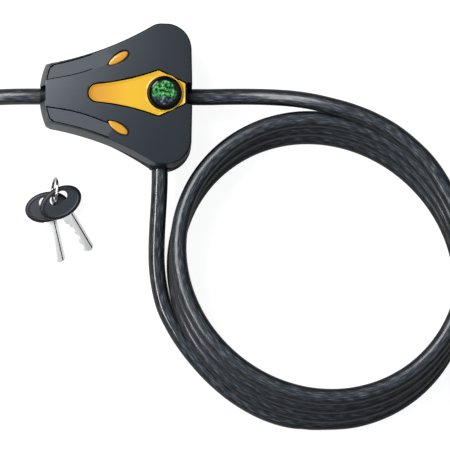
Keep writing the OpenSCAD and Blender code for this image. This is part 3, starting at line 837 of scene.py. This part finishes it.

# %% [markdown]
# ## The split ring and the jaws' spring
# A split ring is spring wire wound twice round, so that a key can be worked on between the
# coils. It is swept as a short helix with tapered ends. The jaws' spring is the same kind of
# wire in five open turns round the cable. The carriage presses it together as the key turns;
# here it is swept at one fixed length.


# %% Wire
def swept_wire(name, place, radius, turns, rise, wire, steps, tip=1.0):
    """A helix of wire about Z, put in place. The ends taper to this share of the wire."""
    path = bpy.data.curves.new(name, "CURVE")
    path.dimensions = "3D"
    spline = path.splines.new("POLY")
    spline.points.add(steps)
    for i, point in enumerate(spline.points):
        turn = tau * turns * i / steps
        at = place @ Vector((radius * cos(turn), radius * sin(turn), (i / steps - 0.5) * rise))
        point.co = (*(at * MM), 1)
        point.radius = min(1, tip + 0.15 * min(i, steps - i))
    path.bevel_depth = wire * MM
    path.bevel_resolution = 4
    path.use_fill_caps = True
    pick(put_in_scene(name, path))
    bpy.ops.object.convert(target="MESH")
    made = bpy.context.object
    shade_round(made, 50)
    return made


# %% Split ring
RING_C = Vector((-30.1, -45.7, 7.1))
RING_R, RING_WIRE = 6.4, 0.46
RING_LEAN, RING_TURN = 11.7, -3.7
ring_place = (
    Matrix.Translation(RING_C) @ Matrix.Rotation(radians(RING_TURN), 4, "Z")
    @ Matrix.Rotation(radians(90 + RING_LEAN), 4, "Y")
)
ring = swept_wire("split_ring", ring_place, RING_R, 1.94, 1.96 * RING_WIRE, RING_WIRE, 96, 0.55)
print("ring faces", len(ring.data.polygons))

# %% Jaw spring
SPRING_X, SPRING_R, SPRING_WIRE, SPRING_TRAVEL = (-26.5, -13.2), 5.85, 0.6, 4.25
spring_length = SPRING_X[1] - SPRING_X[0] - 2 * SPRING_WIRE - 0.3
spring_place = (
    Matrix.Translation((sum(SPRING_X) / 2, 0, SPLIT_Z)) @ Matrix.Rotation(radians(90), 4, "Y")
)
jaw_spring = swept_wire(
    "wound_jaw_spring", spring_place, SPRING_R, 5, spring_length, SPRING_WIRE, 120,
)
print("spring faces", len(jaw_spring.data.polygons))

# %% [markdown]
# ## What each piece stands for
# Each new piece stands for one imported part, which is hidden, and moves with its body; each row
# also names the part's slot. The jaws' spring gets a mesh of its own.

# %% Where each piece rides
PIECES = [
    (front_shell, "front_shell", "housing", "shell_plastic"),
    (rear_shell, "rear_shell", "housing", "shell_plastic"),
    (label, "label_inlay", "housing", "label_plastic"),
    (inserts[0], "eye_insert_upper", "housing", "eye_plastic"),
    (inserts[1], "eye_insert_lower", "housing", "eye_plastic"),
    (bows["front"], "key_bow_front", "front_key", "black_plastic"),
    (blades["front"], "key_blade_front", "front_key", "nickel"),
    (bows["rear"], "key_bow_rear", "rear_key", "black_plastic"),
    (blades["rear"], "key_blade_rear", "rear_key", "nickel"),
    (ring, "key_ring", "ring", "nickel"),
    (jaw_spring, "jaw_spring", "housing", "steel"),
]
for piece, node, body, slot in PIECES:
    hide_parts(node)
    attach(piece, body)
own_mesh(jaw_spring)

# %% [markdown]
# ## Making materials
# A material is a small graph of shader nodes. One function adds a node, sets its values and
# makes its links, so that each recipe below reads like a list.


# %% Node helpers
RGBA = {"data_type": "RGBA"}


def feed(tree, node, **inputs):
    """Set inputs to a value, or link them to an output or a node's first. i0 is input 0."""
    for name, value in inputs.items():
        key = int(name[1:]) if name[0] == "i" and name[1:].isdigit() else name.replace("_", " ")
        if isinstance(value, bpy.types.Node):
            value = value.outputs[0]
        if isinstance(value, bpy.types.NodeSocket):
            tree.links.new(value, node.inputs[key])
        else:
            node.inputs[key].default_value = value


def add(tree, kind, settings=None, **inputs):
    """Add one node with its settings and inputs. A colour ramp's stops are (place, hex)."""
    node = tree.nodes.new("ShaderNode" + kind)
    for name, value in (settings or {}).items():
        if name == "stops":
            stops = node.color_ramp.elements
            while len(stops) < len(value):
                stops.new(0.5)
            for stop, (position, shade) in zip(stops, value):
                stop.position, stop.color = position, colour(shade)
        else:
            setattr(node, name, value)
    feed(tree, node, **inputs)
    return node


def material(name):
    """An empty material, its tree and its Principled shader."""
    made = bpy.data.materials.new(name)
    made.use_nodes = True
    tree = made.node_tree
    return made, tree, tree.nodes["Principled BSDF"]


# %% [markdown]
# ## The cable's finish
# Vinyl-coated steel rope: a smoky clear coat is drawn over bare strands. The strands wind round
# the rope, but the wires in them lie along it, so the glints are short dashes along the cable
# in slanting bands. Near the edges the way through the coat is longer, so the cable turns
# darker there, and this darkening is made strong enough to be painted shade between the
# turns of the coil. The smooth outside is the shader's coat, over a rougher base. The turns
# rub on one another, so their coat is duller than that of the stretch below the collar.

# %% Cable vinyl
UNWORN = 150
STRANDS, STRAND_LAY = 6, 44
WIRE_DASH, WIRE_WIDTH = 5.5, 0.5
STRAND_SHADES = [(0.26, "#1f2327"), (0.46, "#2f333a"), (0.58, "#41464c"), (0.78, "#666b73")]


def coated_rope(name, coat_weight, coat_roughness):
    """Steel strands under a smoky clear coat of this strength and roughness."""
    made, tree, shader = material(name)
    uv = add(tree, "UVMap", {"uv_map": "along_cable"})
    wires = add(tree, "Mapping", Vector=uv, Scale=(1 / (WIRE_WIDTH * MM), 1 / (WIRE_DASH * MM), 1))
    glints = add(tree, "TexNoise", {"noise_dimensions": "2D"}, Vector=wires,
                 Scale=1.0, Detail=1.5, Roughness=0.5)
    girth = tau * CABLE_R * MM
    strand_place = add(tree, "VectorMath", {"operation": "DOT_PRODUCT"}, i0=uv,
                       i1=(tau * STRANDS / girth, tau * STRANDS / (STRAND_LAY * MM), 0))
    wave = add(tree, "Math", {"operation": "SINE"}, i0=strand_place.outputs["Value"])
    band = add(tree, "MapRange", Value=wave, From_Min=-1, To_Min=-0.06, To_Max=0.03)
    banded = add(tree, "Math", {"operation": "ADD"}, i0=glints, i1=band)
    strands = add(tree, "ValToRGB", {"stops": STRAND_SHADES}, Fac=banded)
    # The darkening towards the edges stands for the coat's depth and also paints the shade between
    # the turns.
    facing = add(tree, "LayerWeight", Blend=0.5)
    edge = add(tree, "ValToRGB", {"stops": [(0.1, "#000000"), (0.4, "#ffffff")]},
               Fac=facing.outputs["Facing"])
    deep = add(tree, "Mix", RGBA, i0=edge, i6=strands, i7=colour("#040506"))
    feed(tree, shader, Base_Color=deep.outputs[2], Roughness=0.5, IOR=1.45,
         Specular_IOR_Level=0.1, Coat_Weight=coat_weight, Coat_Roughness=coat_roughness,
         Coat_IOR=1.53)
    return made


cable_vinyl = coated_rope("smoky_vinyl_over_steel_strands", 0.8, 0.26)
new_vinyl = coated_rope("new_vinyl_over_steel_strands", 1.0, 0.05)
cable.data.materials.append(cable_vinyl)
cable.data.materials.append(new_vinyl)
tail.data.materials.append(cable_vinyl)
uv = cable.data.uv_layers["along_cable"]
for face in cable.data.polygons:
    if uv.data[face.loop_indices[0]].uv.y < UNWORN * MM:
        face.material_index = 1
print("cable finish made")

# %% [markdown]
# ## Moulded plastics
# The shells are ABS with a fine spark-eroded texture, which scatters a highlight into a soft
# sheen. The front one is charcoal, and the rear one is black with painted shade, standing for the
# shade it lies in under the front one. The grain of 0.5 mm is drawn coarser than the real one, so
# that it shows. The grooves, the seams and the far side of the rim hold little light, so their
# shade is painted on, as darker and duller copies of the same plastics. The label is smoother,
# and its colour deepens to orange at its narrow end.


# %% Plastic helper
BUMP_DEPTH = 0.05 * MM


def clouded(shades):
    """A ramp's stops for two close shades."""
    return [(0.3, shades[0]), (0.7, shades[1])]


def moulded(name, shades, grain, strength, roughness, gloss=0.5):
    """A moulded plastic: two close shades in slow clouds, and a fine even grain."""
    made, tree, shader = material(name)
    place = add(tree, "TexCoord")
    cloud = add(tree, "TexNoise", Vector=place.outputs["Object"], Scale=60.0, Detail=3.0)
    tint = add(tree, "ValToRGB", {"stops": clouded(shades)}, Fac=cloud)
    texture = add(tree, "TexNoise", Vector=place.outputs["Object"],
                  Scale=1 / (grain * MM), Detail=1.0)
    bump = add(tree, "Bump", Strength=strength, Distance=BUMP_DEPTH, Height=texture)
    feed(tree, shader, Base_Color=tint, Normal=bump,
         Roughness=roughness, IOR=1.5, Specular_IOR_Level=gloss)
    return made, tree, shader


# %% Shells, inserts and black mouldings
shell_abs, tree, shader = moulded(
    "textured_charcoal_abs", ("#151a20", "#191f25"), 0.5, 0.3, 0.36, 0.8,
)
feed(tree, shader, Specular_Tint=(0.86, 0.93, 1, 1))
# The rear shell is black with painted shade, for the shade it lies in under the front one.
rear_shade_abs, _, _ = moulded("black_abs_painted_for_shade_below", ("#0b0c0e", "#101113"), 0.5, 0.3, 0.5, 0.06)
black_nylon, _, _ = moulded("moulded_black_nylon", ("#0d0e10", "#131416"), 0.5, 0.25, 0.4, 0.3)
# Painted shade for the grooves, the seats and the far side of the rim.
groove_shade_abs, _, _ = moulded(
    "painted_shade_in_grooves_abs", ("#050607", "#08090b"), 0.5, 0.05, 0.6, 0,
)
rim_abs, _, _ = moulded("satin_black_abs", ("#060607", "#09090b"), 0.8, 0.05, 0.35, 0.12)
amber_abs, _, _ = moulded("glossy_amber_abs", ("#d0932f", "#dca03a"), 0.8, 0.05, 0.14)
# Painted shade for the label's walls in the gap.
seam_shade_abs, _, _ = moulded("amber_abs_painted_with_seam_shade", ("#1c1206", "#201508"), 0.6, 0.05, 0.5, 0)

# %% Key bows
bow_nylon, tree, shader = moulded("moulded_bow_nylon", ("#2d3138", "#373b42"), 0.6, 0.4, 0.45)
polish = add(tree, "Attribute", {"attribute_name": "polish"})
clouds = shader.inputs["Base Color"].links[0].from_socket
rim_tone = add(tree, "Mix", RGBA, i0=polish.outputs["Fac"], i6=clouds,
               i7=colour("#0d0e10"))
feed(tree, shader, Base_Color=rim_tone.outputs[2])

# %% Yellow label
label_abs, tree, shader = moulded("satin_yellow_abs", ("#dba928", "#e2b130"), 0.6, 0.1, 0.28)
place = add(tree, "TexCoord")
split = add(tree, "SeparateXYZ", Vector=place.outputs["Object"])
along = add(tree, "MapRange", Value=split.outputs["X"], From_Min=-15 * MM, From_Max=6 * MM)
fade = add(tree, "ValToRGB", {"stops": [(0.0, "#b86c1f"), (0.5, "#d69624"), (1.0, "#e8b62a")]},
           Fac=along)
clouds = shader.inputs["Base Color"].links[0].from_socket
blend = add(tree, "Mix", RGBA, i0=0.7, i6=clouds, i7=fade)
feed(tree, shader, Base_Color=blend.outputs[2])
print("plastics made")

# %% [markdown]
# ## The badge
# The badge is a printed disc under a clear domed resin. Its print here is a plain mottle, green
# above and light grey below, which paints the resin's highlight there. It darkens towards the
# edge. A coat on the shader stands for the resin's surface.

# %% Badge disc
GREENS = [(0.36, "#071009"), (0.46, "#1d5226"), (0.56, "#3f9a4c"), (0.7, "#93cf90")]
HIGHLIGHT_GREYS = [(0.4, "#0b0d12"), (0.55, "#3a4452"), (0.75, "#8b93a6")]
DARK_EDGE = [(0.0, "#000000"), (0.84, "#000000"), (0.93, "#ffffff")]
PRINT_R = 6.6

badge_print, tree, shader = material("printed_disc_under_resin")
place = add(tree, "TexCoord")
centred = add(tree, "Mapping", Vector=place.outputs["Object"], Location=(-BADGE_X * MM, 0, 0))
mottle = add(tree, "TexNoise", Vector=centred, Scale=620.0, Detail=3.0)
greens = add(tree, "ValToRGB", {"stops": GREENS}, Fac=mottle)
# The light greys below paint the resin's highlight.
highlight_greys = add(tree, "ValToRGB", {"stops": HIGHLIGHT_GREYS}, Fac=mottle)
across = add(tree, "SeparateXYZ", Vector=centred)
lower = add(tree, "MapRange", Value=across.outputs["Y"], From_Min=-1.2 * MM, From_Max=-3.2 * MM)
patches = add(tree, "Mix", RGBA, i0=lower, i6=greens, i7=highlight_greys)

# %% Badge edge and resin
flat_place = add(tree, "VectorMath", {"operation": "MULTIPLY"}, i0=centred, i1=(1, 1, 0))
radius = add(tree, "VectorMath", {"operation": "LENGTH"}, i0=flat_place)
reach = add(tree, "Math", {"operation": "DIVIDE"}, i0=radius.outputs["Value"], i1=PRINT_R * MM)
edge = add(tree, "ValToRGB", {"stops": DARK_EDGE}, Fac=reach)
print_tone = add(tree, "Mix", RGBA, i0=edge,
                 i6=patches.outputs[2], i7=colour("#08090a"))
feed(tree, shader, Base_Color=print_tone.outputs[2], Roughness=0.35, Specular_IOR_Level=0.0,
     Coat_Weight=1.0, Coat_Roughness=0.04)
print("badge made")

# %% [markdown]
# ## Metals
# The keys are pale ground nickel silver, with painted shade in the grooves, and the ring is plated
# spring wire. The case is cast zinc with a slightly pitted skin, the cylinder is turned brass, and
# the jaws, pins and plates are steel.


# %% Metal helper
def metal(name, shades, roughness, line, pit, axis=(1, 1, 1), bare=1.0):
    """A metal with fine lines along the axis of the smallest scale. A satin one is less bare."""
    made, tree, shader = material(name)
    place = add(tree, "TexCoord")
    stretched = add(tree, "Mapping", Vector=place.outputs["Object"], Scale=axis)
    lines = add(tree, "TexNoise", Vector=stretched, Scale=1 / (line * MM), Detail=3.0)
    tint = add(tree, "ValToRGB", {"stops": clouded(shades)}, Fac=lines)
    rough = add(tree, "MapRange", Value=lines, To_Min=roughness * 0.8, To_Max=roughness * 1.2)
    bump = add(tree, "Bump", Strength=pit, Distance=BUMP_DEPTH, Height=lines)
    feed(tree, shader, Base_Color=tint, Roughness=rough, Normal=bump, Metallic=bare)
    return made


# %% Metals
nickel_silver = metal(
    "ground_nickel_silver", ("#e6e6e3", "#f2f2ef"), 0.42, 0.4, 0.2, (1, 1, 4), 0.4,
)
# Painted shade for the blades' grooves.
groove_shade_nickel = metal("nickel_silver_painted_with_groove_shade", ("#2c2c2b", "#383836"), 0.6, 0.4, 0.2)
plated_wire = metal("plated_spring_wire", ("#cfcfd0", "#e2e2e2"), 0.12, 0.8, 0.05)
cast_zinc = metal("cast_zinc", ("#8d9094", "#a3a6aa"), 0.45, 0.5, 0.5)
turned_brass = metal("turned_brass", ("#b8944a", "#cbaa62"), 0.25, 0.3, 0.2, (1, 6, 1))
hard_steel = metal("ground_steel", ("#9a9ca0", "#b4b6ba"), 0.3, 0.3, 0.2, (6, 1, 1))
zinc_plated = metal("zinc_plated_steel", ("#a5a8ac", "#bcbfc3"), 0.26, 0.8, 0.1)

# %% [markdown]
# ## Giving the finishes
# The faces that a shade tool cut already have the second place, so the painted shade goes there.
# Seams, feet and the far side of the rim take painted shade too, and are found by where they are.

# %% Finishes of the new pieces
FINISHES = [
    (front_shell, shell_abs, groove_shade_abs), (rear_shell, rear_shade_abs), (label, label_abs, seam_shade_abs),
    (inserts[0], amber_abs, black_nylon), (inserts[1], amber_abs, black_nylon),
    (bows["front"], bow_nylon), (bows["rear"], bow_nylon),
    (blades["front"], nickel_silver, groove_shade_nickel), (blades["rear"], nickel_silver, groove_shade_nickel),
    (ring, plated_wire), (jaw_spring, hard_steel),
]
for piece, *finishes in FINISHES:
    places = [face.material_index for face in piece.data.polygons]
    piece.data.materials.clear()
    for finish in finishes:
        piece.data.materials.append(finish)
    piece.data.polygons.foreach_set("material_index", places)


def second_where(piece, test):
    """Give the second finish to the faces whose middle and normal pass the test."""
    for face in piece.data.polygons:
        if test(face.center / MM, face.normal):
            face.material_index = 1


def on_far_rim(at, normal):
    """Is this a face of the front shell's rounded rim, on the sides towards +Y and +X, where shade
    is painted?
    """
    on_rim = at.z > crown_z(at.x, at.y) - RIM_R and 0.1 < normal.z < 0.99
    return on_rim and (normal.y > 0.12 or normal.x > 0.2)


# The rim on the far sides takes painted shade.
second_where(front_shell, on_far_rim)
# The label's walls in the gap take painted shade.
second_where(label, lambda at, normal: abs(normal.z) < 0.5 and at.z < LABEL_WALL_TOP)
# The black feet of the inserts paint the shade in the seams round them.
for insert in inserts:
    second_where(insert, lambda at, normal: at.z < EYE_FOOT_TOP + 0.05)
print("finishes on", len(FINISHES), "new pieces")

# %% Finishes of the carried-over parts
NODE_FINISHES = [
    (rim_abs, "badge_rim"), (badge_print, "badge_lens"),
    (new_vinyl, "cable_anchor"), (cable_vinyl, "cable_through"),
    (black_nylon, "port_bush_left port_bush_right exit_collar cable_end_cap"),
    (zinc_plated, "cover_screws case_cover case_rivets cable_ferrule plug_clip spring_washer"),
    (hard_steel, "barrel_pin ferrule_pin wafer_springs drive_cam jaw_upper jaw_lower"),
    (cast_zinc, "lock_case jaw_carriage"), (turned_brass, "cylinder_barrel key_plug wafers"),
]
for finish, names in NODE_FINISHES:
    for name in names.split():
        nodes[name].data.materials.clear()
        nodes[name].data.materials.append(finish)
    print(finish.name, "on", names)

# %% [markdown]
# ## Table and light
# The object lies on a plain white table. The table is white to the camera and still takes the
# shadow of the lock. In reflections it is faint, and fainter to the right, so that the walls of
# the dark shells stay dark. A long strip lamp on the left draws the bright line along the cable,
# a square one behind it lays a sheen on the body's face, and a weak one on the right fills in.

# %% Table
GLOW, DIM_X, DIM = 0.92, (-0.1, -0.01), (0.4, 0.14)

bpy.ops.mesh.primitive_plane_add(size=6, location=(0.05, -0.06, 0))
table = bpy.context.object
table.name = "table"
table_white, tree, shader = material("matt_white_table")
path = add(tree, "LightPath")
reflected = add(tree, "Math", {"operation": "MAXIMUM"},
                i0=path.outputs["Is Glossy Ray"], i1=path.outputs["Is Transmission Ray"])
place = add(tree, "TexCoord")
across = add(tree, "SeparateXYZ", Vector=place.outputs["Object"])
falloff = add(tree, "MapRange", Value=across.outputs["X"], From_Min=DIM_X[0], From_Max=DIM_X[1],
              To_Min=DIM[0], To_Max=DIM[1])
faint = add(tree, "Math", {"operation": "MULTIPLY"}, i0=reflected, i1=falloff)
glow = add(tree, "Math", {"operation": "MULTIPLY_ADD"},
           i0=path.outputs["Is Camera Ray"], i1=GLOW, i2=faint)
feed(tree, shader, Base_Color=colour("#8c8c8c"), Roughness=0.9, Specular_IOR_Level=0.0,
     Emission_Color=(1, 1, 1, 1), Emission_Strength=glow)
table.data.materials.append(table_white)
print("table laid")


# %% Lamps
def lamp(name, place, size, watts):
    """A soft lamp of this size in metres, aimed at the object's middle."""
    bpy.ops.object.light_add(type="AREA", location=place)
    made = bpy.context.object
    made.name = name
    made.data.shape = "RECTANGLE"
    made.data.size, made.data.size_y = size
    made.data.energy = watts
    aim = Vector(place) - LOOK_AT
    made.rotation_euler = aim.to_track_quat("Z", "Y").to_euler()
    return made


lamp("strip_lamp", (-0.85, -0.13, 0.95), (0.8, 0.22), 9)
lamp("sheen_lamp", (-0.39, 0.335, 0.75), (0.45, 0.45), 6.9)
lamp("fill_lamp", (0.9, -0.7, 0.9), (0.7, 0.7), 0.5)
print("lamps", [light.name for light in bpy.data.lights])

# %% Soft room
world = bpy.data.worlds.new("soft_room")
world.use_nodes = True
room = world.node_tree
heading = add(room, "TexCoord")
height = add(room, "SeparateXYZ", Vector=heading.outputs["Generated"])
walls = add(room, "ValToRGB", {"stops": [(0.0, "#2b2d31"), (0.35, "#51555c"), (0.8, "#848992")]},
            Fac=height.outputs["Z"])
feed(room, room.nodes["Background"], Color=walls, Strength=1.0)
bpy.context.scene.world = world
bpy.context.scene.view_settings.view_transform = "Standard"

# %% [markdown]
# ## Finish

# %% Finish
print("scene dressed")
